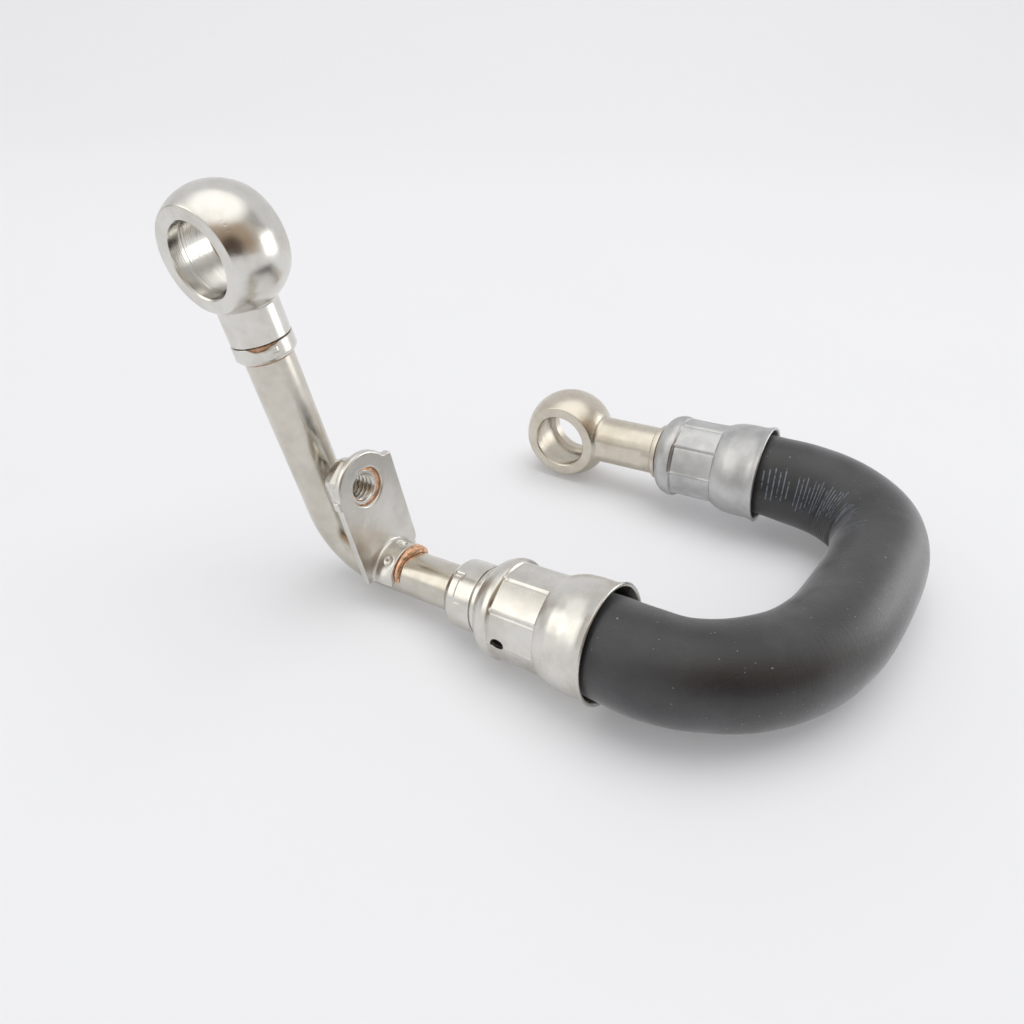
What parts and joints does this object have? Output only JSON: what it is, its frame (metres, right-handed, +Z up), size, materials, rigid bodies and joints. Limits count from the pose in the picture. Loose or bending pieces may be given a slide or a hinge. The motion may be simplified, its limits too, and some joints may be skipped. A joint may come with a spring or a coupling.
{
  "type": "coolant line",
  "caption": "Engine coolant line: a bent metal tube with an eye fitting and a bracket, crimped to a U-shaped rubber hose that ends in another eye fitting.",
  "frame": {"origin": "under the middle of the bounding box, on the surface that the line lies on", "axes": "+Z up; +X from the tube's upright towards the turn of the hose; +Y from the tube's leg towards the far eye"},
  "size_m": [0.1592, 0.1174, 0.0863],
  "materials": {
    "nickel": "satin warm nickel plating",
    "champagne": "satin nickel plating with a pale gold cast",
    "grey_zinc": "dull grey zinc plating",
    "copper": "copper braze, as run",
    "rubber": "matte, ground outer surface"
  },
  "bodies": {
    "root": {"upright_eye": "nickel", "socket_braze": "copper", "locating_ring": "nickel", "ring_braze": "copper", "steel_tube": "nickel", "bracket": "nickel", "saddle_braze": "copper", "weld_nut": "nickel", "nut_braze": "copper", "hose_nipple": "nickel", "near_ferrule": "nickel", "coolant_hose": "rubber", "far_ferrule": "grey_zinc", "far_eye": "champagne"}
  },
  "joints": []
}
